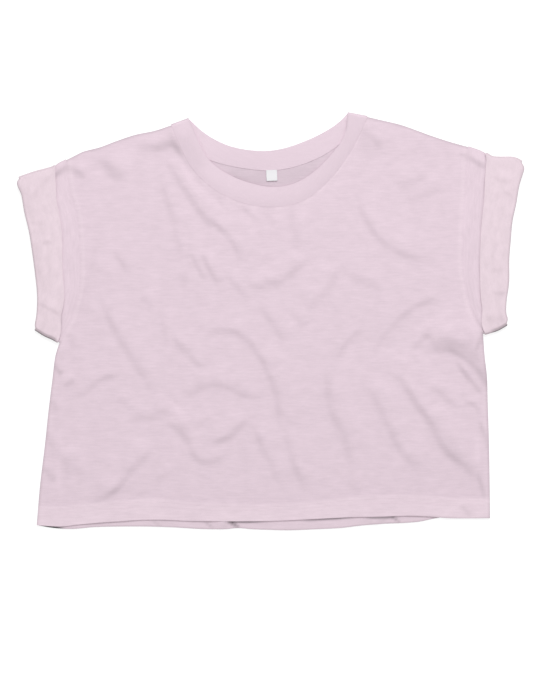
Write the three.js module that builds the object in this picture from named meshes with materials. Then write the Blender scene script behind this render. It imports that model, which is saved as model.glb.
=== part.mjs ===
// A women's boxy crop top in light jersey, laid flat on its back with the sleeves turned up.
//
// Millimetres, +Z up. The garment lies on the plane z = 0 with its neck towards +Y and its own right
// sleeve at -X. The origin is the middle of the laid-out garment, on the surface that it lies on.
//
// Every piece of cloth is a wall of its own: the back panel rests on the surface, the front panel lies
// over it, each sleeve is a flattened tube, each turned-up cuff wraps round the end of its sleeve and
// rolls back into it, and one neckband runs round the neck opening and folds over at both shoulders.

import * as THREE from 'three';

// Cloth and seams
const CLOTH = 1.0; // one layer of jersey, as a wall
const RIB = 1.2; // the doubled neckband
const SEAM_GAP = 0.3; // clearance between two pieces that are sewn together
const LAYER_PITCH = 1.6; // from one layer of cloth to the next where they lie on each other
const HEM_DEPTH = 20; // turned-up hem at the bottom of the front and the back
const HEM_EXTRA = 0.5; // how much the turned-up hem adds to the wall
const HEM_STEP = 4; // the hem thins to one layer over this distance

// Rough size of the body between its seams, which turns distances into shares of a panel
const BODY_WIDTH = 520;
const BODY_HEIGHT = 430;

// Where along its edges a panel's seams meet: the two ends of the neck seam, and the underarm
const NECK_START = 0.26;
const NECK_END = 0.748;
const UNDERARM = 0.5;

// How the cloth lies
const LOFT = 1.1; // the front stands this much over the back between its folds
const SIDE_ROUND = 13; // the front rises from its side and shoulder seams over this distance
const HEM_SHARE = 0.55; // share of the folds' height that is left at the hem
const HEM_SETTLE = 0.12; // the folds settle to that over this share of the height
const FOLD_END = 0.25; // a fold rises and dies out over this share of its length
const LIFT_EDGE = 1.5; // past a cuff's free edge, cloth stays this far on the cuff's underlayer
const LIFT_RUN = 15; // and has come down from it at this distance
const CUFF_CLEAR = 8; // the lift starts to fade this far below a cuff's lower end
const CUFF_PUFF = 1.1; // the upper layer of a cuff bulges by this much
const CUFF_LIP = 4; // the cuff's cloth rolls back inside the sleeve by this much
const CUFF_EDGE_POINTS = 41; // places where the free edge of a cuff is worked out

// Label sewn under the back of the neckband
const LABEL_WIDTH = 13;
const LABEL_LENGTH = 12;
const LABEL_THICK = 0.6;
const LABEL_TILT = THREE.MathUtils.degToRad(2);
const LABEL_X = 0.5;
const LABEL_TOP_Y = 181.3;

// Steps of the walls. Pieces that meet at a seam have the same steps along it.
const NECK_STEPS = 20;
const ARMHOLE_STEPS = 10;
const FRONT_STEPS = { shoulder: 11, side: 16, armhole: 2 * ARMHOLE_STEPS };
const BACK_STEPS = { shoulder: 4, side: 4, armhole: ARMHOLE_STEPS };
const BEND_STEPS = 4; // round a half-turn of cloth
const SLEEVE_STEPS = 6; // from the armhole to the cuff
const CUFF_STEPS = 4; // from a cuff's free edge to its fold
const BAND_STEPS = 3; // across the neckband

// Outlines of the laid-out garment, each from its first row to its last
const SHOULDER_LEFT = [
  { x: -246, y: 194 },
  { x: -226, y: 203.5 },
  { x: -186, y: 216.5 },
  { x: -161, y: 224.5 },
  { x: -120, y: 235 },
];
const SHOULDER_RIGHT = [
  { x: 115, y: 245.5 },
  { x: 156, y: 235.5 },
  { x: 193, y: 222.5 },
  { x: 236, y: 209.5 },
];
const FRONT_NECK_SEAM = [
  { x: -120, y: 235 },
  { x: -93, y: 187 },
  { x: -63, y: 161 },
  { x: -30, y: 145 },
  { x: 4, y: 139 },
  { x: 38, y: 146 },
  { x: 69, y: 171 },
  { x: 96, y: 207 },
  { x: 115, y: 245.5 },
];
const FRONT_NECK_EDGE = [
  { x: -100, y: 242 },
  { x: -75, y: 195 },
  { x: -49, y: 176 },
  { x: -22, y: 166 },
  { x: 4, y: 162 },
  { x: 29, y: 167 },
  { x: 53, y: 182 },
  { x: 78, y: 209 },
  { x: 92.5, y: 249 },
];
const BACK_NECK_SEAM = [
  { x: -120, y: 235 },
  { x: -102, y: 211 },
  { x: -75, y: 195 },
  { x: -29, y: 184 },
  { x: 12, y: 184 },
  { x: 62, y: 201 },
  { x: 97, y: 227 },
  { x: 115, y: 245.5 },
];
const BACK_NECK_EDGE = [
  { x: -100, y: 242 },
  { x: -64, y: 217 },
  { x: -42, y: 209 },
  { x: -9, y: 205 },
  { x: 15, y: 208.5 },
  { x: 45, y: 219.5 },
  { x: 69, y: 231.5 },
  { x: 92.5, y: 249 },
];
const SIDE_LEFT = [
  { x: -281, y: -243.5 },
  { x: -277, y: -189 },
  { x: -271.3, y: -146 },
  { x: -263.5, y: -69 },
  { x: -259.3, y: -38 },
  { x: -252, y: -23 },
];
const SIDE_RIGHT = [
  { x: 262.5, y: -233.5 },
  { x: 261.5, y: -180 },
  { x: 260.5, y: -115 },
  { x: 259.5, y: -72 },
  { x: 256.5, y: -35 },
  { x: 252.5, y: -12 },
];
const ARMHOLE_LEFT = [
  { x: -252, y: -23 },
  { x: -243, y: -3 },
  { x: -232, y: 33 },
  { x: -230, y: 83 },
  { x: -234, y: 129 },
  { x: -243, y: 162 },
  { x: -246, y: 194 },
];
const ARMHOLE_RIGHT = [
  { x: 252.5, y: -12 },
  { x: 246, y: 0 },
  { x: 238, y: 21 },
  { x: 231, y: 57 },
  { x: 230, y: 105 },
  { x: 233, y: 160 },
  { x: 236, y: 209.5 },
];
const FRONT_HEM = [
  { x: -281, y: -243.5 },
  { x: -254, y: -244.5 },
  { x: -212, y: -241 },
  { x: -138, y: -237.5 },
  { x: -63, y: -238 },
  { x: 51, y: -236 },
  { x: 179, y: -232 },
  { x: 216, y: -233.5 },
  { x: 262.5, y: -233.5 },
];
const BACK_HEM = [
  { x: -281, y: -243.5 },
  { x: -240, y: -248 },
  { x: -195, y: -245.8 },
  { x: -143, y: -245.8 },
  { x: -83, y: -248.5 },
  { x: -2, y: -250 },
  { x: 60, y: -248.5 },
  { x: 133, y: -242.8 },
  { x: 207, y: -237 },
  { x: 262.5, y: -233.5 },
];

// Sleeves: the fold along the top, the fold underneath, the turned outer edge, and how far from the
// armhole to that edge, as a share, the free edge of the cuff lies
const SLEEVE_LEFT = {
  top: [
    { x: -246, y: 194 },
    { x: -258, y: 187 },
    { x: -272, y: 180 },
    { x: -302, y: 169.5 },
  ],
  under: [
    { x: -252, y: -23 },
    { x: -283.5, y: -7.5 },
  ],
  outer: [
    { x: -302, y: 169.5 },
    { x: -298.8, y: 141 },
    { x: -291.2, y: 105 },
    { x: -285.6, y: 69 },
    { x: -281.6, y: 33 },
    { x: -281.6, y: 17 },
    { x: -283.5, y: -7.5 },
  ],
  cuff: [
    { along: 0, share: 0.27 },
    { along: 0.3, share: 0.37 },
    { along: 0.6, share: 0.39 },
    { along: 0.85, share: 0.34 },
    { along: 1, share: 0.22 },
  ],
};
const SLEEVE_RIGHT = {
  top: [
    { x: 236, y: 209.5 },
    { x: 255, y: 201 },
    { x: 272, y: 194 },
    { x: 302, y: 192 },
  ],
  under: [
    { x: 252.5, y: -12 },
    { x: 281, y: -2 },
  ],
  outer: [
    { x: 302, y: 192 },
    { x: 300.8, y: 172 },
    { x: 292.3, y: 132 },
    { x: 287.5, y: 101 },
    { x: 285.3, y: 52 },
    { x: 282.5, y: 19 },
    { x: 281, y: -2 },
  ],
  cuff: [
    { along: 0, share: 0.33 },
    { along: 0.3, share: 0.37 },
    { along: 0.6, share: 0.36 },
    { along: 0.85, share: 0.36 },
    { along: 1, share: 0.22 },
  ],
};

// The largest folds of the front: a crest from (x0, y0) to (x1, y1), bowed to its left by bow at the
// middle, with its half width and its rise. A hollow has a rise below 0.
const FOLDS = [
  { name: 'shoulder to chest', x0: -117, y0: 198, x1: -33, y1: 70, bow: 4, half: 10, rise: 2.0 },
  { name: 'left chest', x0: -124, y0: 171, x1: -103, y1: 70, bow: 0, half: 9, rise: 1.3 },
  { name: 'neck hollow', x0: -178, y0: 189, x1: -98, y1: 206, bow: 0, half: 11, rise: -1.1 },
  { name: 'left underarm diagonal', x0: -206, y0: 36, x1: -94, y1: -124, bow: 3, half: 10, rise: 1.9 },
  { name: 'centre swirl', x0: -84, y0: -6, x1: 14, y1: -104, bow: 26, half: 12, rise: 2.0 },
  { name: 'left hem', x0: -220, y0: -212, x1: -128, y1: -140, bow: 0, half: 10, rise: 2.0 },
  { name: 'low centre', x0: -130, y0: -100, x1: -82, y1: -166, bow: 4, half: 9, rise: 1.2 },
  { name: 'centre to hem', x0: 14, y0: -112, x1: 44, y1: -206, bow: 0, half: 10, rise: 1.2 },
  { name: 'right of centre', x0: 72, y0: -44, x1: 98, y1: -180, bow: 3, half: 10, rise: 1.5 },
  { name: 'right waist', x0: 112, y0: -62, x1: 190, y1: -192, bow: 3, half: 10, rise: 1.7 },
  { name: 'right diagonal', x0: 138, y0: -46, x1: 262, y1: -212, bow: 5, half: 11, rise: 2.6 },
  { name: 'right underarm', x0: 138, y0: -58, x1: 252, y1: -48, bow: 26, half: 12, rise: 2.8 },
  { name: 'right side', x0: 176, y0: -48, x1: 254, y1: -92, bow: 0, half: 9, rise: 1.4 },
  { name: 'right chest', x0: 116, y0: 142, x1: 202, y1: 80, bow: -15, half: 10, rise: 1.2 },
];

const MATERIALS = {
  body: new THREE.MeshStandardMaterial({ color: 0xe2ced9, roughness: 0.92, metalness: 0 }),
  sleeve: new THREE.MeshStandardMaterial({ color: 0xe2ced9, roughness: 0.92, metalness: 0 }),
  cuff: new THREE.MeshStandardMaterial({ color: 0xe9d6de, roughness: 0.92, metalness: 0 }),
  neckband: new THREE.MeshStandardMaterial({ color: 0xe7d3de, roughness: 0.9, metalness: 0 }),
  label: new THREE.MeshStandardMaterial({ color: 0xf6f5f4, roughness: 0.6, metalness: 0 }),
};

const smooth = (x, low, high) => THREE.MathUtils.smoothstep(x, low, high);
const lerp = THREE.MathUtils.lerp;

// Curves and patches

function curveThrough(rows) {
  const points = rows.map(({ x, y }) => new THREE.Vector3(x, y, 0));
  const curve = new THREE.CatmullRomCurve3(points, false, 'centripetal');
  curve.arcLengthDivisions = 400;
  return (share) => curve.getPointAt(THREE.MathUtils.clamp(share, 0, 1));
}

// The same curve in straight chords, so that finer and coarser walls share its edge.
function inChords(curve, steps) {
  return (share) => {
    const place = THREE.MathUtils.clamp(share, 0, 1) * steps;
    const first = Math.min(Math.floor(place), steps - 1);
    return curve(first / steps).lerp(curve((first + 1) / steps), place - first);
  };
}

// Several curves end to end, each with its own span of the parameter.
function joined(spans) {
  return (share) => {
    const span = spans.find(({ to }) => share <= to) ?? spans[spans.length - 1];
    return span.curve((share - span.from) / (span.to - span.from));
  };
}

// The surface between four boundary curves, evened out from all of them.
function patch(bottom, top, left, right) {
  const corners = [bottom(0), bottom(1), top(0), top(1)];
  return (u, v) =>
    bottom(u)
      .multiplyScalar(1 - v)
      .addScaledVector(top(u), v)
      .addScaledVector(left(v), 1 - u)
      .addScaledVector(right(v), u)
      .addScaledVector(corners[0], -(1 - u) * (1 - v))
      .addScaledVector(corners[1], -u * (1 - v))
      .addScaledVector(corners[2], -(1 - u) * v)
      .addScaledVector(corners[3], -u * v);
}

const evenly = (from, to, steps) =>
  Array.from({ length: steps + 1 }, (_, k) => lerp(from, to, k / steps));

// Solids

// A closed wall from two grids of points, its outer and its inner face. Rows run from edge to edge, and
// a looped wall closes each row on itself.
function wall(outer, inner, looped) {
  const rows = outer.length;
  const columns = outer[0].length;
  const positions = [...outer.flat(), ...inner.flat()].flatMap((p) => [p.x, p.y, p.z]);
  const at = (row, column, layer) => layer * rows * columns + row * columns + (column % columns);
  const faces = [];
  const quad = (a, b, c, d) => faces.push(a, b, c, a, c, d);
  const spans = looped ? columns : columns - 1;
  for (let row = 0; row < rows - 1; row++) {
    for (let k = 0; k < spans; k++) {
      quad(at(row, k, 0), at(row, k + 1, 0), at(row + 1, k + 1, 0), at(row + 1, k, 0));
      quad(at(row, k, 1), at(row + 1, k, 1), at(row + 1, k + 1, 1), at(row, k + 1, 1));
    }
  }
  for (let k = 0; k < spans; k++) {
    const last = rows - 1;
    quad(at(0, k, 0), at(0, k, 1), at(0, k + 1, 1), at(0, k + 1, 0));
    quad(at(last, k, 0), at(last, k + 1, 0), at(last, k + 1, 1), at(last, k, 1));
  }
  if (!looped) {
    for (let row = 0; row < rows - 1; row++) {
      const end = columns - 1;
      quad(at(row, 0, 0), at(row + 1, 0, 0), at(row + 1, 0, 1), at(row, 0, 1));
      quad(at(row, end, 0), at(row, end, 1), at(row + 1, end, 1), at(row + 1, end, 0));
    }
  }
  const geometry = new THREE.BufferGeometry();
  geometry.setAttribute('position', new THREE.Float32BufferAttribute(positions, 3));
  geometry.setIndex(faces);
  geometry.computeVertexNormals();
  return geometry;
}

// A looped wall from the middle of its cloth, moved out and in by half its thickness.
function tubeWall(middle, thickness) {
  const rows = middle.length;
  const columns = middle[0].length;
  const moved = (side) =>
    middle.map((line, row) =>
      line.map((point, k) => {
        const along = middle[row][(k + 1) % columns].clone().sub(middle[row][(k + columns - 1) % columns]);
        const across = middle[Math.min(row + 1, rows - 1)][k].clone().sub(middle[Math.max(row - 1, 0)][k]);
        return along.cross(across).normalize().multiplyScalar(side * thickness * 0.5).add(point);
      }),
    );
  return wall(moved(1), moved(-1), true);
}

// A wall that lies flat or nearly so, from its underside up.
function sheetWall(under, thicknessAt) {
  const over = under.map((line, row) =>
    line.map((point) => new THREE.Vector3(point.x, point.y, point.z + thicknessAt(row))),
  );
  return wall(over, under, false);
}

// Sleeve surfaces

// A sleeve's flat shape: along runs down its armhole from the shoulder, across runs out to the fold.
function sleeveShape(armhole, rows) {
  const down = curveThrough([...armhole].reverse());
  const surface = patch(down, curveThrough(rows.outer), curveThrough(rows.top), curveThrough(rows.under));
  const cuffShare = (along) => {
    const next = Math.max(1, rows.cuff.findIndex((row) => row.along >= along));
    const [a, b] = [rows.cuff[next - 1], rows.cuff[next]];
    return lerp(a.share, b.share, smooth(along, a.along, b.along));
  };
  return { surface, cuffShare };
}

const sleeves = {
  left: sleeveShape(ARMHOLE_LEFT, SLEEVE_LEFT),
  right: sleeveShape(ARMHOLE_RIGHT, SLEEVE_RIGHT),
};

// The free edge of each cuff, from its top to its lower end
const cuffEdges = Object.fromEntries(
  Object.entries(sleeves).map(([side, { surface, cuffShare }]) => [
    side,
    evenly(0, 1, CUFF_EDGE_POINTS - 1).map((along) => surface(along, cuffShare(along))),
  ]),
);

function cuffEdgeX(side, y) {
  const edge = cuffEdges[side];
  const below = edge.findIndex((p) => p.y <= y);
  const next = below < 0 ? edge.length - 1 : Math.max(1, below);
  const [a, b] = [edge[next - 1], edge[next]];
  return lerp(a.x, b.x, THREE.MathUtils.clamp((a.y - y) / (a.y - b.y), 0, 1));
}

// Cloth that lies on the underlayer of a cuff is lifted by one layer, and comes down towards the body
// and below the cuff's lower end.
function lift(x, y) {
  const side = x < 0 ? 'left' : 'right';
  const lowest = cuffEdges[side].at(-1).y;
  const inside = x < 0 ? x - cuffEdgeX(side, y) : cuffEdgeX(side, y) - x;
  const near = 1 - smooth(inside, LIFT_EDGE, LIFT_RUN);
  return LAYER_PITCH * near * smooth(y, lowest - CUFF_CLEAR - LIFT_RUN, lowest - CUFF_CLEAR);
}

// Relief of the front panel

function foldHeight({ x0, y0, x1, y1, bow, half, rise }, x, y) {
  const length = Math.hypot(x1 - x0, y1 - y0);
  const [dx, dy] = [(x1 - x0) / length, (y1 - y0) / length];
  const along = ((x - x0) * dx + (y - y0) * dy) / length;
  if (along <= 0 || along >= 1) return 0;
  const sideways = (y - y0) * dx - (x - x0) * dy - bow * 4 * along * (1 - along);
  const ends = smooth(along, 0, FOLD_END) * smooth(1 - along, 0, FOLD_END);
  return rise * ends * Math.exp(-((sideways / half) ** 2));
}

const foldsAt = (x, y) => FOLDS.reduce((sum, fold) => sum + foldHeight(fold, x, y), 0);

// Body panels

function bodyShape(hem, neckSeam) {
  const top = joined([
    { from: 0, to: NECK_START, curve: curveThrough(SHOULDER_LEFT) },
    { from: NECK_START, to: NECK_END, curve: curveThrough(neckSeam) },
    { from: NECK_END, to: 1, curve: curveThrough(SHOULDER_RIGHT) },
  ]);
  const edge = (side, armhole) =>
    joined([
      { from: 0, to: UNDERARM, curve: curveThrough(side) },
      { from: UNDERARM, to: 1, curve: inChords(curveThrough(armhole), ARMHOLE_STEPS) },
    ]);
  return patch(curveThrough(hem), top, edge(SIDE_LEFT, ARMHOLE_LEFT), edge(SIDE_RIGHT, ARMHOLE_RIGHT));
}

// Shares across and up the body where a panel has its points. The first two rows bound the hem, and
// both panels have a row and a column where the lift by the cuffs ends.
function bodySteps({ shoulder, side, armhole }) {
  const sideColumn = LIFT_RUN / BODY_WIDTH;
  const liftRow = LIFT_RUN / BODY_HEIGHT;
  const across = [
    0,
    ...evenly(sideColumn, NECK_START, shoulder).slice(0, -1),
    ...evenly(NECK_START, NECK_END, NECK_STEPS).slice(0, -1),
    ...evenly(NECK_END, 1 - sideColumn, shoulder),
    1,
  ];
  const up = [
    0,
    HEM_DEPTH / BODY_HEIGHT,
    ...evenly((HEM_DEPTH + HEM_STEP) / BODY_HEIGHT, UNDERARM - 2 * liftRow, side),
    UNDERARM - liftRow,
    ...evenly(UNDERARM, 1, armhole),
  ];
  return { across, up };
}

const hemExtraAt = (row) => (row < 2 ? HEM_EXTRA : 0);
const panelThickness = (row) => CLOTH + hemExtraAt(row);

function backPanel() {
  const surface = bodyShape(BACK_HEM, BACK_NECK_SEAM);
  const { across, up } = bodySteps(BACK_STEPS);
  const under = up.map((v) =>
    across.map((u) => {
      const p = surface(u, v);
      return p.setZ(lift(p.x, p.y));
    }),
  );
  return sheetWall(under, panelThickness);
}

// The front's height over the back: held down at its seams, loose between them and at the hem.
function frontHeight(u, v, x, y) {
  const fromSide = Math.min(u, 1 - u) * BODY_WIDTH;
  const fromTop = (1 - v) * BODY_HEIGHT;
  const loose = smooth(fromSide, 0, SIDE_ROUND) * smooth(fromTop, 0, SIDE_ROUND);
  const held = v < UNDERARM ? 0 : LAYER_PITCH - CLOTH - SEAM_GAP;
  const relief = Math.max(0, LOFT + foldsAt(x, y)) * lerp(HEM_SHARE, 1, smooth(v, 0, HEM_SETTLE));
  return lerp(held, relief, loose);
}

function frontPanel() {
  const surface = bodyShape(FRONT_HEM, FRONT_NECK_SEAM);
  const { across, up } = bodySteps(FRONT_STEPS);
  const under = up.map((v, row) =>
    across.map((u) => {
      const p = surface(u, v);
      const rest = CLOTH + hemExtraAt(row) + SEAM_GAP;
      return p.setZ(lift(p.x, p.y) + rest + frontHeight(u, v, p.x, p.y));
    }),
  );
  return sheetWall(under, panelThickness);
}

// Tubes

// Places round a flattened tube: down its upper layer, round the lower fold, back up its underlayer
// and round the upper fold. turn is the angle from straight up.
function roundTube(steps) {
  const places = [];
  for (const along of evenly(0, 1, steps)) places.push({ along, turn: 0 });
  for (let k = 1; k < BEND_STEPS; k++) places.push({ along: 1, turn: (Math.PI * k) / BEND_STEPS });
  for (const along of evenly(1, 0, steps)) places.push({ along, turn: Math.PI });
  for (let k = 1; k < BEND_STEPS; k++) places.push({ along: 0, turn: Math.PI * (1 + k / BEND_STEPS) });
  return places;
}

// The direction square to a fold line, out of the cloth, at an upper or a lower fold.
function pastFold(direction, upper) {
  const past = new THREE.Vector3(-direction.y, direction.x, 0).normalize();
  return past.y > 0 === upper ? past : past.negate();
}

// Half heights of the two tubes, and the radius of the fold that joins a cuff's outer and inner layer
const sleeveRadius = LAYER_PITCH / 2;
const cuffRadius = sleeveRadius + LAYER_PITCH;
const foldRadius = (cuffRadius - sleeveRadius) / 2;

// One ring of a sleeve or cuff. share says how far across it lies, out how far it is moved past that,
// radius is the tube's half height there, and puff raises the middle of the upper layer.
function ring(side, { share, out, radius, puff }) {
  const { surface } = sleeves[side];
  const nudge = 0.01; // a small share either side, which gives the direction across
  const centre = LAYER_PITCH / 2 + CLOTH / 2;
  return roundTube(ARMHOLE_STEPS).map(({ along, turn }) => {
    const across = share(along);
    const p = surface(along, across);
    const outward = surface(along, across + nudge).sub(surface(along, across - nudge)).normalize();
    const bulge = turn === 0 ? puff * Math.sin(Math.PI * along) : 0;
    return p
      .addScaledVector(outward, out)
      .addScaledVector(pastFold(outward, along < 0.5), Math.abs(Math.sin(turn)) * radius)
      .setZ(lift(p.x, p.y) + centre + radius * Math.cos(turn) + bulge);
  });
}

const widthAt = (side, along) => {
  const { surface } = sleeves[side];
  return surface(along, 0).distanceTo(surface(along, 1));
};
const shareAt = (side, along, millimetres) => millimetres / widthAt(side, along);
const foldAxis = (side, along) => 1 - shareAt(side, along, foldRadius + CLOTH / 2);

function sleeve(side) {
  const first = (along) => shareAt(side, along, SEAM_GAP);
  const last = (along) => foldAxis(side, along) - shareAt(side, along, CUFF_LIP + SEAM_GAP);
  const rows = evenly(0, 1, SLEEVE_STEPS).map((k) =>
    ring(side, {
      share: (along) => lerp(first(along), last(along), k),
      out: 0,
      radius: sleeveRadius,
      puff: 0,
    }),
  );
  return tubeWall(rows, CLOTH);
}

function cuff(side) {
  const axis = (along) => foldAxis(side, along);
  const free = (along) => sleeves[side].cuffShare(along);
  const outer = evenly(0, 1, CUFF_STEPS).map((k) =>
    ring(side, {
      share: (along) => lerp(free(along), axis(along), k),
      out: 0,
      radius: cuffRadius,
      puff: CUFF_PUFF * (1 - k * k),
    }),
  );
  const turn = evenly(0, Math.PI, BEND_STEPS)
    .slice(1)
    .map((angle) =>
      ring(side, {
        share: axis,
        out: foldRadius * Math.sin(angle),
        radius: sleeveRadius + foldRadius * (1 + Math.cos(angle)),
        puff: 0,
      }),
    );
  const lip = ring(side, {
    share: (along) => axis(along) - shareAt(side, along, CUFF_LIP),
    out: 0,
    radius: sleeveRadius,
    puff: 0,
  });
  return tubeWall([...outer, ...turn, lip], CLOTH);
}

// The neckband: round the front from one shoulder to the other, over the fold, and back round the nape.
function neckband() {
  const arcs = {
    front: { edge: curveThrough(FRONT_NECK_EDGE), seam: curveThrough(FRONT_NECK_SEAM) },
    back: { edge: curveThrough(BACK_NECK_EDGE), seam: curveThrough(BACK_NECK_SEAM) },
  };
  const radius = LAYER_PITCH / 2;
  const centre = RIB / 2 + radius;
  const rows = evenly(0, 1, BAND_STEPS).map((across) =>
    roundTube(NECK_STEPS).map(({ along, turn }) => {
      const { edge, seam } = Math.cos(turn) > 0 ? arcs.front : arcs.back;
      const [a, b] = [edge(along), seam(along)];
      const cloth = 1 - SEAM_GAP / a.distanceTo(b);
      const past = pastFold(b.clone().sub(a), true);
      return a
        .lerp(b, across * cloth)
        .addScaledVector(past, Math.abs(Math.sin(turn)) * radius)
        .setZ(centre + radius * Math.cos(turn));
    }),
  );
  return tubeWall(rows, RIB);
}

function label() {
  const shape = new THREE.BoxGeometry(LABEL_WIDTH, LABEL_LENGTH, LABEL_THICK);
  shape.translate(0, -LABEL_LENGTH / 2, 0);
  return shape;
}

// The garment

const garment = new THREE.Group();

function piece(name, geometry, material) {
  const mesh = new THREE.Mesh(geometry, material);
  mesh.name = name;
  garment.add(mesh);
  return mesh;
}

piece('back_panel', backPanel(), MATERIALS.body);
piece('front_panel', frontPanel(), MATERIALS.body);
for (const side of ['left', 'right']) {
  piece(`sleeve_${side}`, sleeve(side), MATERIALS.sleeve);
  piece(`cuff_${side}`, cuff(side), MATERIALS.cuff);
}
piece('neckband', neckband(), MATERIALS.neckband);
const tag = piece('size_label', label(), MATERIALS.label);
tag.position.set(LABEL_X, LABEL_TOP_Y, CLOTH + SEAM_GAP + LABEL_THICK / 2);
tag.rotation.z = LABEL_TILT;

// The origin is the middle of the garment's box, on the surface that it lies on.
const box = new THREE.Box3().setFromObject(garment);
const middle = box.getCenter(new THREE.Vector3());
garment.position.set(-middle.x, -middle.y, -box.min.z);

export default garment;
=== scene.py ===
"""A women's boxy crop top in light jersey, laid flat and seen from straight above.

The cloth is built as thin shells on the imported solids' form: front, back, two sleeves, two turned-up
cuffs, one neckband and a blank size label, with the twin-needle hem as separate thread. Outlines and
folds are in millimetres in the drawing's own frame, and BOX_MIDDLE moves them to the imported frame.
"""

import math

import bpy
import numpy as np
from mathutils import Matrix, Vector, noise

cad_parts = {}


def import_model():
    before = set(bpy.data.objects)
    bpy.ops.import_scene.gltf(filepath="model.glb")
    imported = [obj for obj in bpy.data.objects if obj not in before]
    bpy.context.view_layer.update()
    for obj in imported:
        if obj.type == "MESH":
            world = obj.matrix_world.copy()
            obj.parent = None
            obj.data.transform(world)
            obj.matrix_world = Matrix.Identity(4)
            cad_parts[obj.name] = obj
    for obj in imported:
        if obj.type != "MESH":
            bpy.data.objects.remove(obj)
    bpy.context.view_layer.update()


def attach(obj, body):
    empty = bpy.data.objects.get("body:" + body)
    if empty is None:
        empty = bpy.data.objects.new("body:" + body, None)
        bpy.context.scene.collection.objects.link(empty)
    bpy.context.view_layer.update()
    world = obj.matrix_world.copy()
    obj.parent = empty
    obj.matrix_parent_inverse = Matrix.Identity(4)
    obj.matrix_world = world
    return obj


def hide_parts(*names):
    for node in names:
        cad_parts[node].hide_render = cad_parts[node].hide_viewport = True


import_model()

MM = 0.001

BOX_MIDDLE = (-0.225, 0.19)  # the middle of the whole garment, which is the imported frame's origin

# Cloth, in millimetres
CAD_CLOTH = 1.0  # the solids' walls, which set where each layer lies
JERSEY = 0.85
RIB = 1.35
CAD_GAP = 0.3
LAYER_PITCH = 1.6
HEM_DEPTH = 20.5
HEM_EXTRA = 0.25

# Rough size of the body between its seams, and where its seams meet, as shares of its edges
BODY_WIDTH = 520
BODY_HEIGHT = 430
NECK_START = 0.26
NECK_END = 0.748
UNDERARM = 0.5

# How the cloth lies
LOFT = 1.1
LOWEST = 0.5  # cloth that would lie lower than this flattens out above the layer below
FRONT_RIPPLES = [(0.35, 46, 3.1), (0.22, 17, 7.7)]  # rise, size and seed
SIDE_ROUND = 13
HEM_SETTLE = (14, 46)  # creases settle towards the hem between these distances from it
HEM_SHARE = 0.3
TOP_ROUND = 30
UNEVEN = 0.5  # how much a crease's depth varies along it
CREASE_RISE = 1.35
# how strongly the creases lay painted shade on their steep flanks
CREASE_DARK = 1.08
EDGE_SHADE = 0.24
UNDERARM_SHADE = 0.9
LIFT_EDGE = 2.5
LIFT_RUN = 15
CUFF_CLEAR = 8
CUFF_PUFF = 1.0
CUFF_SINK = 1.5  # how far the cuff's free edge sinks back to the sleeve
CUFF_LIP = 4

# Size label
LABEL_WIDTH = 13
LABEL_LENGTH = 13.2
LABEL_TILT = math.radians(2)
LABEL_TOP = (0.2, 182.6)

# Outlines
SHOULDER_LEFT = [
    (-246, 194.3), (-236, 199.3), (-226, 204.2), (-205, 209.8), (-186, 217), (-163, 224.6),
    (-140, 229.4), (-120, 236),
]
SHOULDER_RIGHT = [(115, 246), (133, 241.8), (156, 236.2), (193, 222.9), (219, 214.6), (236, 209.9)]
FRONT_NECK_SEAM = [
    (-120, 236), (-95, 185), (-65, 157.5), (-31, 142.5), (4, 138.5), (38, 146), (69, 171), (96, 207),
    (115, 246),
]
FRONT_NECK_EDGE = [
    (-99, 243.6), (-75, 195), (-49, 176), (-22, 166), (4, 162), (29, 167), (53, 182), (76, 206),
    (85, 219), (89, 231), (91.5, 250.4),
]
BACK_NECK_SEAM = [
    (-120, 236), (-102, 211), (-75, 195), (-29, 184), (12, 183), (62, 200), (97, 227), (115, 246),
]
BACK_NECK_EDGE = [
    (-99, 243.6), (-82.5, 228.5), (-64, 217), (-42, 209), (-9, 205.3), (15, 208.5), (45, 219),
    (69, 231.3), (83, 241.5), (91.5, 250.4),
]
SIDE_LEFT = [
    (-281.4, -243.5), (-277.3, -195), (-271.5, -147), (-267.4, -108), (-262.5, -68), (-258.8, -40),
    (-253.5, -23.5),
]
SIDE_RIGHT = [
    (262.2, -235), (261.6, -190), (260.7, -140), (259.3, -95), (258.5, -66), (255.6, -40),
    (253.5, -13),
]
ARMHOLE_LEFT = [
    (-253.5, -23.5), (-243, -3), (-232, 33), (-230, 83), (-234, 129), (-243, 162), (-246, 194.3),
]
ARMHOLE_RIGHT = [
    (253.5, -13), (246, 0), (238, 21), (231, 57), (230, 105), (233, 160), (236, 209.9),
]
FRONT_HEM = [
    (-281.4, -243.5), (-252, -245), (-232, -242.8), (-206, -240.5), (-184, -239), (-157, -237.2),
    (-129, -237), (-100, -238.2), (-55, -238.8), (-17, -238.7), (11, -238), (62, -235.5),
    (100, -233.7), (128, -233.3), (165, -232.2), (189, -233.2), (212, -235), (240, -235.2),
    (262.2, -235),
]
BACK_HEM = [
    (-281.4, -243.5), (-262, -246.7), (-240, -248), (-212, -245.8), (-190, -245.2), (-150, -245.1),
    (-118, -246.1), (-83, -248.1), (-55, -248.2), (-40, -247), (-22, -248.4), (0, -249.1),
    (20, -249.6), (60, -248.1), (84, -246.8), (104, -244.4), (133, -241.9), (160, -240.8),
    (178, -239.2), (192, -236.2), (206, -234), (235, -233.5), (262.2, -235),
]
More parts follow.
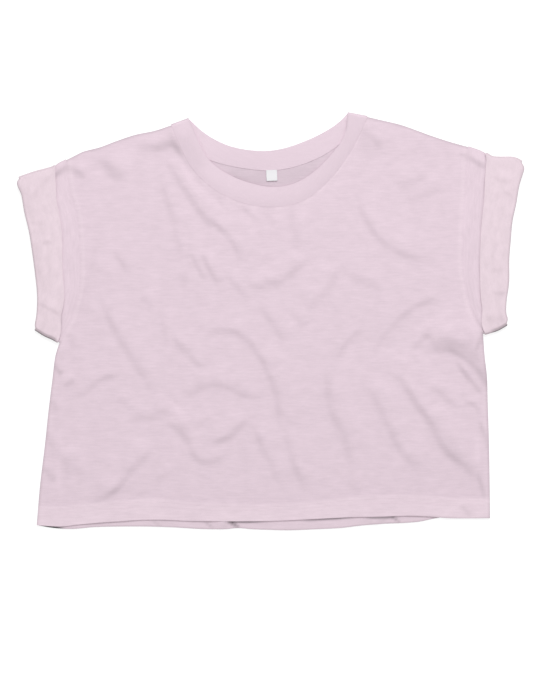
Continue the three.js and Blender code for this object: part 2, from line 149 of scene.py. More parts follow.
SLEEVES = {
    "left": {
        "armhole": ARMHOLE_LEFT,
        "top": [(-246, 194.3), (-255, 189.6), (-261, 184.8), (-270, 182), (-284, 178.2), (-302.5, 171.8)],
        "under": [(-253.5, -23.5), (-262, -18.5), (-271, -14.5), (-282.8, -7)],
        "outer": [
            (-302.5, 171.8), (-305.2, 167), (-303.5, 161), (-300, 153), (-296.5, 133), (-290.8, 109),
            (-286.8, 84), (-283.6, 60), (-281.2, 38), (-280.8, 26), (-281.8, 8), (-283.6, -3),
            (-282.8, -7),
        ],
        "cuff": [(0, 0.24), (0.3, 0.34), (0.6, 0.38), (0.85, 0.3), (1, 0.06)],
    },
    "right": {
        "armhole": ARMHOLE_RIGHT,
        "top": [
            (236, 209.9), (250, 204.9), (258.5, 200), (264, 196.8), (273, 195.8), (291, 195.3), (300, 191),
        ],
        "under": [(253.5, -13), (263, -10.3), (271, -7.5), (282, -1.2)],
        "outer": [
            (300, 191), (303.2, 184.5), (301.3, 177), (297.3, 164), (293.3, 141), (289, 121),
            (286.9, 98), (285.1, 76), (284.9, 48), (281.7, 24), (281.6, 11), (283.4, 4), (282, -1.2),
        ],
        "cuff": [(0, 0.33), (0.3, 0.37), (0.6, 0.36), (0.85, 0.3), (1, 0.06)],
    },
}

# Creases of the front: rise, half width of the steep flank, reach of the soft flank, how much painted shade
# darkens the flank (below 0, painted light), and its line as x, y, x, y. The cloth rises to the left of that
# line, and a rise below 0 is a trough.
CREASES = [
    # From the neckband across the chest, and the middle
    (1.3, 5, 20, 0.034, [-130, 199, -120, 184, -105, 160, -91, 139, -80, 124, -68, 109]),
    (1.0, 4.5, 18, 0.03, [-79, 129, -63, 114, -52, 103, -42, 87, -36, 70]),
    (0.5, 4, 12, 0.055, [-108, 203, -97, 186, -85, 169, -66, 154, -52, 147]),
    (0.5, 3.5, 12, 0.035, [-50, 146, -38, 138, -22, 127, -8, 118]),
    (0.4, 3, 10, 0.03, [-67, 151, -58, 140, -49, 129]),
    (0.4, 3, 10, 0.03, [-36, 141, -28, 131, -19, 119]),
    (0.9, 5, 18, 0.03, [-135, 184, -130, 165, -126, 147, -120, 130, -114, 106, -110, 84, -109, 66]),
    (0.9, 3.6, 16, 0.04, [-85, 86, -76, 67, -69, 54, -63, 43]),
    (0.6, 3.8, 14, 0.03, [-97, 84, -88, 65, -78, 49]),
    (0.3, 7, 14, 0.03, [-106, 63, -105, 51, -108, 37]),
    (0.8, 4.6, 16, 0.03, [-55, 60, -45, 47, -34, 35, -27, 23]),
    (0.8, 4.6, 16, 0.03, [-17, 23, -5, 7, 6, -9, 15, -28]),
    (0.5, 3.6, 12, 0.03, [22, 12, 31, 4, 38, -8]),
    (0.9, 4.6, 18, 0.03, [-82, -19, -69, -12, -54, -10, -40, -14, -28, -23, -18, -36]),
    (1.6, 4.8, 22, 0.035, [-28, -18, -18, -34, -9, -51, 1, -73, 7, -93, 9, -113, 7, -130]),
    (1.0, 5.4, 18, 0.025, [-121, -15, -110, -28, -95, -43, -80, -59]),
    (1.1, 5.2, 18, 0.035, [-101, -95, -89, -81, -74, -76, -57, -77, -41, -84, -23, -89, -6, -89]),
    # Left side and low middle
    (1.1, 4.8, 18, 0.032, [-209, 39, -200, 17, -190, -6, -179, -25, -168, -42, -158, -60, -147, -77, -141,
        -91]),
    (0.6, 4.5, 16, -0.01, [-92, -124, -107, -110, -120, -98, -138, -83]),
    (0.6, 5, 16, 0.035, [-172, -118, -157, -116, -142, -113, -130, -107, -120, -101]),
    (1.1, 5, 18, 0.035, [-130, -113, -120, -124, -108, -132, -100, -143, -95, -156, -87, -166, -74, -168,
        -59, -162, -46, -154]),
    (0.6, 4, 14, 0.03, [-93, -130, -81, -118, -69, -111]),
    (1.4, 5, 18, 0.04, [-77, -146, -64, -144, -51, -138, -38, -125, -25, -110]),
    (1.2, 5, 17, 0.035, [-22, -118, -16, -138, -9, -156, 1, -173, 7, -188, 14, -201]),
    (1.1, 5.4, 17, 0.035, [16, -126, 20, -144, 25, -163, 32, -182, 40, -203]),
    (0.2, 6, 12, 0.025, [-37, -141, -34, -160, -31, -180]),
    (1.3, 4.8, 20, 0.028, [-213, -215, -201, -211, -191, -204, -181, -196, -171, -183, -160, -169, -146,
        -158, -133, -147]),
    (0.5, 3.4, 12, 0.035, [-216, -216, -204, -213, -194, -207, -184, -200, -176, -190]),
    # Right side, its hem and the underarm
    (1.0, 6.6, 20, 0.045, [65, -50, 68, -75, 71, -99, 77, -117, 86, -134, 92, -153, 93, -177]),
    (1.6, 6, 20, 0.03, [105, -72, 116, -83, 127, -98, 136, -117, 146, -138, 158, -157, 173, -174, 187, -191]),
    (2.0, 5.6, 24, 0.03, [132, -52, 145, -60, 156, -71, 167, -88, 181, -108, 193, -126, 201, -141, 211,
        -156, 223, -166, 233, -174, 240, -185, 244, -196]),
    (0.4, 8, 16, 0.05, [197, -126, 207, -142, 219, -157, 233, -170, 242, -184, 245, -196]),
    (0.4, 2.8, 8, 0.1, [247, -180, 250, -191, 254, -203, 257, -214]),
    (0.3, 2.8, 8, 0.1, [249, -117, 253, -129, 257, -140, 259, -156]),
    (0, 1.6, 3, 0.16, [160, -232.6, 196, -234, 228, -235.6, 262, -235.2, 300, -235]),
    (0.6, 3, 10, 0.1, [226, -219, 233, -226, 240, -234]),
    (2.2, 9, 26, 0.035, [176, -36, 187, -33, 198, -31, 211, -27, 225, -27, 236, -34, 245, -45, 252, -57,
        259, -72, 265, -90]),
    (0.1, 7, 14, 0.032, [188, -28, 198, -25, 211, -22.5, 227, -24.5, 241, -35.5, 251, -50, 258, -66, 266,
        -88]),
    (1.0, 4, 12, 0.085, [194, -33, 202, -33, 210, -33, 219, -36, 228, -41, 236, -47, 246, -56, 253, -66,
        258, -75, 266, -92]),
    (0.1, 3, 7, 0.13, [262, 8, 257, -6, 253, -15, 249, -24, 243, -36]),
    (1.0, 3.0, 11, 0.08, [219, -44, 228, -56, 237, -68, 244, -76.5, 250, -84, 254, -89]),
    (0.5, 2.8, 9, 0.055, [230, -98, 240, -98, 246, -103, 249, -110]),
    (0.7, 4.4, 14, 0.025, [184, -75, 200, -83, 210, -92, 219, -99, 231, -103]),
    # Right chest, and troughs towards the underarm
    (1.1, 4.8, 20, 0.025, [102, 158, 106, 141, 113, 124, 128, 101, 149, 85, 173, 77, 199, 73]),
    (1.0, 5, 16, 0.035, [4, 38, 13, 49, 31, 64, 45, 79]),
    (0.7, 5, 16, 0.03, [-32, 43, -16, 43, 1, 46, 12, 53]),
    (1.0, 5.8, 16, 0.025, [43, 12, 53, 24, 63, 35, 71, 45, 79, 59, 82, 73]),
    (0.6, 6, 16, 0.02, [82, 78, 91, 61, 101, 52, 116, 46, 136, 36]),
    (-1.1, 5, 18, 0.03, [110, -5, 101, -15, 87, -31, 76, -51]),
    (-1.6, 5, 22, 0.045, [206, 27, 190, 25, 176, 19, 158, 6, 142, -11, 130, -25, 123, -42]),
    (-0.9, 4, 14, 0.055, [193, -13, 184, -18, 176, -25, 166, -36]),
    # Shoulders and beside the neckband
    (1.4, 4.4, 12, 0.1, [-268, 171, -259, 177, -253.5, 182, -246, 184.5, -239, 183.5, -233, 180, -221, 172]),
    (0.1, 3, 6, 0.06, [-262, 174, -257, 177, -252, 180]),
    (1.2, 7, 16, 0.05, [-213, 202, -204, 193, -197, 187, -189, 178, -180, 166]),
    (0.1, 9, 14, 0.024, [-228, 200, -208, 197, -190, 190, -176, 180]),
    (1.1, 7, 20, 0.085, [-166, 205, -152, 208, -138, 210, -126, 213, -117, 214, -110, 208, -103, 200]),
    (0.2, 5, 10, 0.055, [-144, 207, -131, 210, -120, 213, -112, 206, -104, 197]),
    (0.1, 4, 10, 0.06, [-124, 236, -119, 222, -113, 208, -103, 194, -93, 180]),
    (0.8, 6.5, 18, 0.032, [152, 156, 170, 169, 190, 180]),
    (0.6, 6.5, 16, 0.028, [162, 142, 184, 154, 210, 164]),
    (0.1, 10, 14, 0.024, [168, 218, 186, 210, 204, 201, 224, 190]),
    (0, 2.6, 4, 0.2, [-251, 28, -252.5, 14, -254, 2, -254, -14]),
    (1.0, 3.4, 10, 0.1, [224, 203, 241, 195, 250, 189, 258, 184]),
    (0.9, 5, 12, 0.055, [97, 230, 106, 230, 114, 228, 122, 221, 133, 206]),
    (0.1, 17, 20, 0.028, [84, 205, 110, 214, 138, 214, 168, 198, 196, 186]),
    (0.3, 8, 14, 0.03, [110, 224, 113, 209, 117, 193]),
    (0.3, 4, 9, -0.03, [229, 164, 232, 130, 228, 108]),
    (0.1, 4, 9, -0.035, [245, -126, 246, -150, 248, -182]),
    (0.1, 3.6, 9, -0.035, [-256, -162, -255, -190, -250, -216]),
    # Left side, and faint ones
    (0.6, 4.4, 14, 0.035, [-209, 90, -216, 65, -220, 53, -227, 29, -236, 4]),
    (0.5, 3.6, 12, 0.035, [-192, 89, -183, 77, -171, 60]),
    (0.4, 3.4, 10, 0.03, [-158, 32, -149, 23, -142, 16]),
    (0.5, 4, 12, 0.025, [-134, 16, -130, -3, -126, -30]),
    (0.4, 5, 14, 0.04, [25, 139, 26, 120, 29, 105, 31, 87]),
    (0.3, 4, 12, 0.025, [-12, 138, -3, 126, 5, 114]),
    (0.4, 2.6, 8, 0.13, [-260, -50, -256, -58, -250, -63]),
    (0.4, 3.4, 9, 0.07, [-250, -77, -243, -73, -234, -70]),
    (0.8, 4.6, 16, 0.035, [-242, -88, -228, -87, -219, -80, -208, -71, -198, -66, -176, -66]),
    (0.2, 3.6, 9, 0.06, [-263, -92, -261, -100, -258, -108]),
    (0.3, 3.6, 9, 0.06, [-269, -130, -266, -142, -261, -153]),
    (0.7, 4.6, 14, -0.01, [-228, -147, -244, -152, -254, -147, -257, -130]),
    (0.3, 5.4, 14, 0.04, [-251, -159, -246, -173, -242, -187]),
    (0.3, 5, 12, 0.03, [-240, -175, -229, -179, -220, -188]),
    (0.3, 3.8, 9, 0.07, [-275, -174, -267, -183, -259, -191]),
    (0.3, 4.4, 10, 0.04, [-244, -12, -240, -20, -238, -31]),
    (0.3, 4.4, 10, 0.035, [-241, -35, -240, -43, -237, -51]),
    (0.3, 4.2, 10, 0.03, [-186, -92, -178, -95, -171, -98]),
    (0.4, 5, 14, 0.03, [-140, -190, -128, -184, -117, -176]),
    (0.3, 6, 12, 0.03, [91, -188, 99, -197, 108, -205]),
]
BACK_CREASES = [
    (0.9, 3, 9, 0.02, [-62, -252, -54, -243, -40, -232]),
    (0.8, 3, 9, 0.02, [120, -248, 131, -240, 146, -230]),
]
# Spots of painted shade: middle, half length, half width, angle and how dark (below 0, painted light). These
# paint the shadow in the gap above the back's hem and the shade inside the neck.
BACK_PAINTED_SHADE = [
    ((-264, -246.3), 13, 2.0, -4, 0.85),
    ((-138, -241), 6, 1.8, -35, 0.12),
    ((-75, -243), 6, 1.8, -35, 0.2),
    ((-45.5, -242), 7.5, 2.2, -32, 0.5),
    ((-33, -239.6), 21, 1.5, 0, 0.5),
    ((68, -236.2), 26, 1.3, 3.5, 0.45),
    ((131, -234.2), 17, 1.6, 1, 0.6),
    ((149, -236.5), 6, 1.6, -38, 0.32),
    # Inside the neck: painted shade, and painted light near its two ends
    ((-28, 170), 20, 6, -14, 0.09),
    ((34, 178), 20, 5, 16, 0.05),
    ((-66, 186), 14, 7, -30, -0.045),
    ((68, 197), 14, 7, 38, -0.04),
]
# Painted shade on the front of the neckband, in the same columns: shadow lines at its two shoulder ends and
# broad shade on its left front, with painted light at its left tip (below 0).
BAND_PAINTED_SHADE = [
    ((90, 241), 11, 1.7, 88, 0.14),
    ((-95, 236), 15, 2.2, -66, 0.07),
    ((-97, 207), 26, 15, -60, 0.065),
    ((-107, 229), 8, 7, -60, -0.035),
]
# Creases of the cuffs, in the same columns, with painted shade on their flanks too.
CUFF_CREASES = [
    (0.6, 1.8, 8, 0.035, [-285, 24, -268, 17, -250, 7]),
    (0.6, 2.8, 10, 0.03, [-290, 143, -282, 157, -273, 168, -260, 179]),
    (0.4, 1.7, 6, 0.022, [-275, 93, -268, 96, -261, 94]),
    (0.4, 2.4, 7, 0.03, [-293, 122, -284, 118, -274, 120]),
    (0.3, 5, 8, 0.03, [-299, 166, -294, 146, -288, 122]),
    (0.3, 5.5, 10, 0.03, [-285, 98, -281, 75, -277, 52, -276, 34]),
    (0.5, 2.8, 8, 0.02, [262, 176, 280, 168, 297, 172]),
    (0.4, 2.2, 7, 0.04, [276, 158, 284, 153, 292, 146]),
    (0.4, 3, 8, 0.03, [262, 64, 272, 62, 282, 66]),
    (0.5, 2.4, 8, 0.04, [262, 38, 272, 34, 284, 37]),
    (0.4, 4.5, 9, 0.06, [256, 6, 268, 2, 281, 7]),
]


# Curves and patches


def ease(x, low, high):
    share = np.clip((np.asarray(x, float) - low) / (high - low), 0, 1)
    return share * share * (3 - 2 * share)


def mix(a, b, share):
    return a + (b - a) * share


def spline(points, steps=40):
    """A centripetal curve through points, as a function of the share of its length."""
    p = np.array(points, float)
    p = np.vstack([2 * p[0] - p[1], p, 2 * p[-1] - p[-2]])
    knot = np.sqrt(np.linalg.norm(np.diff(p, axis=0), axis=1))
    t = np.linspace(0, 1, steps, endpoint=False)[:, None]
    pieces = []
    for k in range(1, len(p) - 2):
        a, b, c, d = p[k - 1 : k + 3]
        before, here, after = knot[k - 1 : k + 2]
        leave = ((b - a) / before - (c - a) / (before + here)) * here + (c - b)
        arrive = (c - b) - ((d - b) / (here + after) - (d - c) / after) * here
        pieces.append(
            b
            + leave * t
            + (3 * (c - b) - 2 * leave - arrive) * t**2
            + (leave + arrive - 2 * (c - b)) * t**3
        )
    line = np.vstack([*pieces, p[-2:-1]])
    at = np.r_[0, np.cumsum(np.linalg.norm(np.diff(line, axis=0), axis=1))]
    at /= at[-1]
    return lambda share: np.stack([np.interp(share, at, line[:, k]) for k in range(2)], -1)


def joined(*spans):
    """Curves end to end. Each span is where it starts, where it ends and its curve."""

    def at(share):
        share = np.asarray(share, float)
        out = np.zeros(share.shape + (2,))
        for start, end, curve in spans:
            inside = (share >= start) & (share <= end)
            out[inside] = curve((share[inside] - start) / (end - start))
        return out

    return at


def patch(bottom, top, left, right):
    """The surface between four curves, evened out from all of them."""

    def at(u, v):
        u, v = np.broadcast_arrays(np.asarray(u, float), np.asarray(v, float))
        a, b = u[..., None], v[..., None]
        sides = (1 - b) * bottom(u) + b * top(u) + (1 - a) * left(v) + a * right(v)
        low = (1 - a) * bottom(0.0) + a * bottom(1.0)
        high = (1 - a) * top(0.0) + a * top(1.0)
        return sides - (1 - b) * low - b * high

    return at


def shares(*spans):
    """Places from 0 to 1, each span as (start, end, steps)."""
    return np.unique(np.concatenate([np.linspace(a, b, n + 1) for a, b, n in spans]).round(9))


# Relief


def beside(x, y, path):
    """Signed distance from a path, above 0 to its left, and how far along it the nearest point is."""
    line = spline(path)(np.linspace(0, 1, 26))
    best = np.full(x.shape, 1e9)
    distance = np.zeros(x.shape)
    along = np.zeros(x.shape)
    steps = len(line) - 1
    for k in range(steps):
        (ax, ay), (bx, by) = line[k], line[k + 1]
        dx, dy = bx - ax, by - ay
        length = math.hypot(dx, dy)
        t = np.clip(((x - ax) * dx + (y - ay) * dy) / length**2, 0, 1)
        away = np.hypot(x - ax - t * dx, y - ay - t * dy)
        near = away < best
        side = np.sign((y - ay) * dx - (x - ax) * dy)
        best = np.where(near, away, best)
        distance = np.where(near, away * side, distance)
        along = np.where(near, (k + t) / steps, along)
    return distance, along


def ridge(distance, at, width):
    """1 at a distance, fading out over width on both sides."""
    return np.exp(-(((distance - at) / width) ** 2))


def creases(x, y, rows):
    """The creases' height at each point, and how much painted shade each lays on its steep flank (painted
    light where its shade is below 0).
    """
    height, dark = np.zeros(x.shape), np.zeros(x.shape)
    uneven = 1 + UNEVEN * ripples(x, y, 15, 4.4)
    for rise, steep, soft, shade, path in rows:
        path = np.reshape(path, (-1, 2))
        reach = steep + 2.6 * soft
        (x0, y0), (x1, y1) = np.min(path, axis=0) - reach, np.max(path, axis=0) + reach
        near = (x > x0) & (x < x1) & (y > y0) & (y < y1)
        if not near.any():
            continue
        distance, along = beside(x[near], y[near], path)
        flank = ease(distance, -steep, steep)
        back = np.exp(-((np.maximum(distance - steep, 0) / soft) ** 2))
        ends = ease(along, 0, 0.26) * ease(1 - along, 0, 0.26)
        height[near] += CREASE_RISE * rise * flank * back * ends * uneven[near]
        dark[near] += CREASE_DARK * shade * ridge(distance, 0, steep) * ends**0.5 * uneven[near]
    return height, dark


def ripples(x, y, size, seed):
    """Smooth noise from -1 to 1 whose waves are about size across."""
    flat = [noise.noise(Vector((a / size, b / size, seed))) for a, b in zip(x.ravel(), y.ravel())]
    return np.array(flat).reshape(x.shape)


# Meshes


def vertex_normals(grid, looped):
    if looped:
        along = np.roll(grid, -1, axis=1) - np.roll(grid, 1, axis=1)
    else:
        along = np.gradient(grid, axis=1)
    across = np.gradient(grid, axis=0)
    normal = np.cross(along, across)
    return normal / np.linalg.norm(normal, axis=-1, keepdims=True)


def shell(name, grid, thickness, looped=False, weave=None, dense=None, shade=None, edge=0.1):
    """A closed shell of cloth round a grid of points in its middle. Its edges are rounded: the two faces
    stop short of the rim by edge. weave gives each point its place on the cloth, across and along its
    wales, dense how much the cloth is doubled there, and shade how much painted shade darkens it
    (painted light below 0)."""
    rows, columns = grid.shape[:2]
    thickness = np.broadcast_to(thickness, (rows, columns))
    normal = vertex_normals(grid, looped)
    face = grid.copy()

    def draw_in(rim, inner):
        away = inner - rim
        return rim + away / np.linalg.norm(away, axis=-1, keepdims=True) * edge

    face[0], face[-1] = draw_in(grid[0], grid[1]), draw_in(grid[-1], grid[-2])
    if not looped:
        face[1:-1, 0] = draw_in(grid[1:-1, 0], grid[1:-1, 1])
        face[1:-1, -1] = draw_in(grid[1:-1, -1], grid[1:-1, -2])
    half = normal * thickness[..., None] / 2
    over, under = face + half, face - half

    index = np.arange(rows * columns).reshape(rows, columns)
    wrap = np.concatenate([index, index[:, :1]], axis=1) if looped else index
    quads = np.stack([wrap[:-1, :-1], wrap[:-1, 1:], wrap[1:, 1:], wrap[1:, :-1]], -1).reshape(-1, 4)
    count = rows * columns
    faces = [quads, quads[:, ::-1] + count]
    if looped:
        rims = [np.append(index[0], index[0, 0]), np.append(index[-1], index[-1, 0])[::-1]]
    else:
        round_trip = np.concatenate([index[0], index[1:, -1], index[-1, -2::-1], index[-2::-1, 0]])
        rims = [round_trip]
    points = [over.reshape(-1, 3), under.reshape(-1, 3)]
    source = [index.ravel(), index.ravel()]
    start = 2 * count
    for rim in rims:
        ring = rim[:-1]
        points.append(grid.reshape(-1, 3)[ring])
        source.append(ring)
        middle = start + np.arange(len(ring))
        start += len(ring)
        after = np.roll(middle, -1)
        a, b = ring, np.roll(ring, -1)
        faces.append(np.stack([a, middle, after, b], -1))
        faces.append(np.stack([middle, a + count, b + count, after], -1))
    points, source = np.vstack(points), np.concatenate(source)

    mesh = bpy.data.meshes.new(name)
    mesh.from_pydata((points * MM).tolist(), [], np.vstack(faces).tolist())
    mesh.shade_smooth()
    rim = np.zeros(len(points), bool)
    rim[np.concatenate([np.r_[r, r + count] for r in rims])] = True
    ends = np.empty(2 * len(mesh.edges), int)
    mesh.edges.foreach_get("vertices", ends)
    sharp = rim[ends[0::2]] & rim[ends[1::2]]
    mesh.attributes.new("sharp_edge", "BOOLEAN", "EDGE").data.foreach_set("value", sharp)
    if weave is None:
        weave = grid[..., :2]
    place = np.zeros((len(points), 3))
    place[:, :2] = weave.reshape(-1, 2)[source] * MM
    mesh.attributes.new("weave", "FLOAT_VECTOR", "POINT").data.foreach_set("vector", place.ravel())
    for label, amount in (("dense", dense), ("shade", shade)):
        value = np.zeros(len(points)) if amount is None else amount.ravel()[source].astype(float)
        mesh.attributes.new(label, "FLOAT", "POINT").data.foreach_set("value", value)
    piece = bpy.data.objects.new(name, mesh)
    bpy.context.scene.collection.objects.link(piece)
    return piece


def surface_sampler(grid, us, vs):
    """Where a place on a piece lies, between its grid points."""

    def at(u, v):
        column = np.clip(np.searchsorted(us, u) - 1, 0, len(us) - 2)
        row = np.clip(np.searchsorted(vs, v) - 1, 0, len(vs) - 2)
        a = ((u - us[column]) / (us[column + 1] - us[column]))[..., None]
        b = ((v - vs[row]) / (vs[row + 1] - vs[row]))[..., None]
        low = (1 - a) * grid[row, column] + a * grid[row, column + 1]
        high = (1 - a) * grid[row + 1, column] + a * grid[row + 1, column + 1]
        return (1 - b) * low + b * high

    return at


def stitches(name, rows, length, pitch, radius, sides=6, rings=4):
    """Separate stitches along polylines: short spindles of thread, half sunk in the cloth."""
    angle = np.linspace(0, 2 * math.pi, sides, endpoint=False)
    place = np.cos(np.linspace(0, math.pi, rings + 2))
    girth = np.sqrt(np.clip(1 - place**4, 0.02, 1))
    points, faces = [], []
    for line in rows:
        line = np.asarray(line, float)
        at = np.r_[0, np.cumsum(np.linalg.norm(np.diff(line, axis=0), axis=1))]
        for centre in np.arange(pitch / 2, at[-1] - pitch / 2, pitch):
            reach = (centre - length / 2, centre + length / 2)
            ends = [np.array([np.interp(s, at, line[:, k]) for k in range(3)]) for s in reach]
            axis = (ends[1] - ends[0]) / 2
            way = axis / np.linalg.norm(axis)
            side = np.cross((0, 0, 1), way)
            side /= np.linalg.norm(side)
            up = np.cross(way, side)
            start = len(points) * sides * (rings + 2)
            ring = np.cos(angle)[:, None] * side + np.sin(angle)[:, None] * up
            body = (ends[0] + ends[1]) / 2 + place[:, None, None] * axis
            points.append((body + girth[:, None, None] * ring * radius).reshape(-1, 3))
            faces.append(start)
    block = sides * (rings + 2)
    quads = []
    for r in range(rings + 1):
        for s in range(sides):
            a, b = r * sides + s, r * sides + (s + 1) % sides
            quads.append((a, a + sides, b + sides, b))
    quads = np.array(quads)
    caps = [tuple(range(sides)), tuple(range(block - 1, block - 1 - sides, -1))]
    every = []
    for k in range(len(points)):
        every += (quads + k * block).tolist()
        every += [[v + k * block for v in cap] for cap in caps]
    mesh = bpy.data.meshes.new(name)
    mesh.from_pydata((np.vstack(points) * MM).tolist(), [], every)
    mesh.shade_smooth()
    piece = bpy.data.objects.new(name, mesh)
    bpy.context.scene.collection.objects.link(piece)
    return piece


# Sleeve shapes and the lift of the cloth by the cuffs


def sleeve_shape(rows):
    down = spline(rows["armhole"][::-1])
    surface = patch(down, spline(rows["outer"]), spline(rows["top"]), spline(rows["under"]))
    along, share = np.array(rows["cuff"]).T

    def cuff_share(place):
        place = np.asarray(place, float)
        after = np.clip(np.searchsorted(along, place), 1, len(along) - 1)
        before = after - 1
        here = (place - along[before]) / (along[after] - along[before])
        return mix(share[before], share[after], ease(here, 0, 1))

    return surface, cuff_share


SHAPES = {side: sleeve_shape(rows) for side, rows in SLEEVES.items()}
CUFF_EDGES = {}
for side, (surface, cuff_share) in SHAPES.items():
    every = np.linspace(0, 1, 81)
    CUFF_EDGES[side] = surface(every, cuff_share(every))[::-1]


def lift(x, y):
    """How far cloth is raised where it lies on the underlayer of a cuff."""
    total = np.zeros(np.shape(x))
    for side, sign in (("left", 1), ("right", -1)):
        edge = CUFF_EDGES[side]
        inside = sign * (x - np.interp(y, edge[:, 1], edge[:, 0]))
        near = 1 - ease(inside, LIFT_EDGE, LIFT_RUN)
        low = edge[0, 1] - CUFF_CLEAR
        here = sign * x < 0
        total += np.where(here, LAYER_PITCH * near * ease(y, low - LIFT_RUN, low), 0)
    return total


# Body panels


def body_surface(hem, neck_seam):
    top = joined(
        (0, NECK_START, spline(SHOULDER_LEFT)),
        (NECK_START, NECK_END, spline(neck_seam)),
        (NECK_END, 1, spline(SHOULDER_RIGHT)),
    )
    left = joined((0, UNDERARM, spline(SIDE_LEFT)), (UNDERARM, 1, spline(ARMHOLE_LEFT)))
    right = joined((0, UNDERARM, spline(SIDE_RIGHT)), (UNDERARM, 1, spline(ARMHOLE_RIGHT)))
    return patch(spline(hem), top, left, right)


RIM = (0.3, 0.9)  # how far inside an edge its first two rows of points lie
HEM_GROOVES = (14.6, 19.6)  # from the hem's edge to its two rows of stitches
HEM_STEP = 4
SEAM_RIDGE = 4.5  # from a side seam or armhole to the ridge of its allowance
FAR = 99  # stands for an edge that is sewn, and so has no dark line


def body_places(across, up):
    """Shares across and up a panel: its steps, with rows close inside each edge."""
    u_rim = [r / BODY_WIDTH for r in RIM]
    v_rim = [r / BODY_HEIGHT for r in RIM]
    hem = HEM_DEPTH / BODY_HEIGHT
    us = shares(
        (0, u_rim[0], 1),
        (u_rim[0], u_rim[1], 1),
        (u_rim[1], NECK_START, across // 4),
        (NECK_START, NECK_END, across // 2),
        (NECK_END, 1 - u_rim[1], across // 4),
        (1 - u_rim[1], 1 - u_rim[0], 1),
        (1 - u_rim[0], 1, 1),
    )
    vs = shares(
        (0, v_rim[0], 1),
        (v_rim[0], v_rim[1], 1),
        (v_rim[1], hem, 17),
        (hem, hem + HEM_STEP / BODY_HEIGHT, 3),
        (hem + HEM_STEP / BODY_HEIGHT, UNDERARM, up // 2 - 10),
        (UNDERARM, 1 - v_rim[1], up // 2),
        (1 - v_rim[1], 1 - v_rim[0], 1),
        (1 - v_rim[0], 1, 1),
    )
    return us, vs


def hem_amount(v):
    """1 on the turned-up hem, 0 above it."""
    hem = HEM_DEPTH / BODY_HEIGHT
    return 1 - ease(v, hem, hem + HEM_STEP / BODY_HEIGHT)


def edge_shade(*distances):
    """Painted shade: the thin dark line along an outline, where the cloth turns away from the light."""
    nearest = np.minimum.reduce(distances)
    return EDGE_SHADE * (1 - ease(nearest, 0.2, 1.5))


def spot_shade(x, y, spots):
    """How much painted shade the spots lay on each point, or painted light where an amount is below 0."""
    total = np.zeros(x.shape)
    for (cx, cy), length, width, angle, amount in spots:
        c, s = math.cos(math.radians(angle)), math.sin(math.radians(angle))
        along, across = (x - cx) * c + (y - cy) * s, (y - cy) * c - (x - cx) * s
        total += amount * np.exp(-((along / length) ** 4) - (across / width) ** 2)
    return np.minimum(total, 0.95)


def front_panel():
    us, vs = body_places(212, 184)
    u, v = np.meshgrid(us, vs)
    flat = body_surface(FRONT_HEM, FRONT_NECK_SEAM)(u, v)
    x, y = flat[..., 0], flat[..., 1]
    from_side = np.minimum(u, 1 - u) * BODY_WIDTH
    from_top = (1 - v) * BODY_HEIGHT
    from_hem = v * BODY_HEIGHT
    loose = ease(from_side, 0, SIDE_ROUND) * ease(from_top, 0, TOP_ROUND)
    settle = mix(HEM_SHARE, 1, ease(from_hem, *HEM_SETTLE))
    crease, dark = creases(x, y, CREASES)
    relief = LOFT * mix(0.1, 1, ease(from_hem, 0, 45)) + crease * settle
    relief += sum(rise * ripples(x, y, size, seed) for rise, size, seed in FRONT_RIPPLES) * settle
    relief = np.where(relief < LOWEST, LOWEST * np.exp(np.minimum(relief / LOWEST - 1, 0)), relief)
    held = np.where(v < UNDERARM, 0, LAYER_PITCH - CAD_CLOTH - CAD_GAP)
    height = mix(held, relief, loose)
    upper = ease(v, UNDERARM, UNDERARM + 0.06)
    armhole = upper * ridge(from_side, SEAM_RIDGE, 2.6)
    side_seam = (1 - upper) * ridge(from_side, SEAM_RIDGE, 2.4) * (0.7 + 0.5 * ripples(x, y, 28, 2.6))
    height += 0.5 * armhole + 0.4 * side_seam
    grooves = sum(ridge(from_hem, groove, 0.9) for groove in HEM_GROOVES)
    hem = hem_amount(v)
    base = CAD_CLOTH + CAD_GAP + CAD_CLOTH / 2
    middle = lift(x, y) + base + 0.1 * hem + height - 0.02 * grooves
    grid = np.dstack([x, y, middle])
    uneven = 0.8 + 0.4 * ripples(x, y, 44, 9.3)
    at_neck = (u > NECK_START) & (u < NECK_END)
    broken = np.clip(0.5 + 1.3 * ripples(x, y, 9, 6.6), 0, 1)
    neck_ridge = at_neck * ridge(from_top, 3.4, 1.9) * broken
    dense = np.maximum.reduce([uneven * hem, 0.6 * armhole, 0.36 * side_seam, 0.7 * neck_ridge])
    at_seam = np.where(v > UNDERARM, FAR, from_side)
    # Painted shade: a dark line along the free outlines and on the creases' steep flanks (lightened where a
    # crease's shade is below 0), and a broken band of painted shadow just below the neckband's seam.
    shade = edge_shade(at_seam, np.where(at_neck, FAR, from_top), from_hem + 0.7) + dark
    band_shadow = ridge(from_top, 0.8, 1.0) * np.clip(0.3 + 1.5 * ripples(x, y, 12, 1.9), 0, 1)
    shade = shade + 0.05 * at_neck * band_shadow
    piece = shell("front", grid, JERSEY + hem * HEM_EXTRA, dense=dense, shade=shade, edge=0.01)
    return piece, surface_sampler(grid + vertex_normals(grid, False) * (JERSEY + HEM_EXTRA) / 2, us, vs)


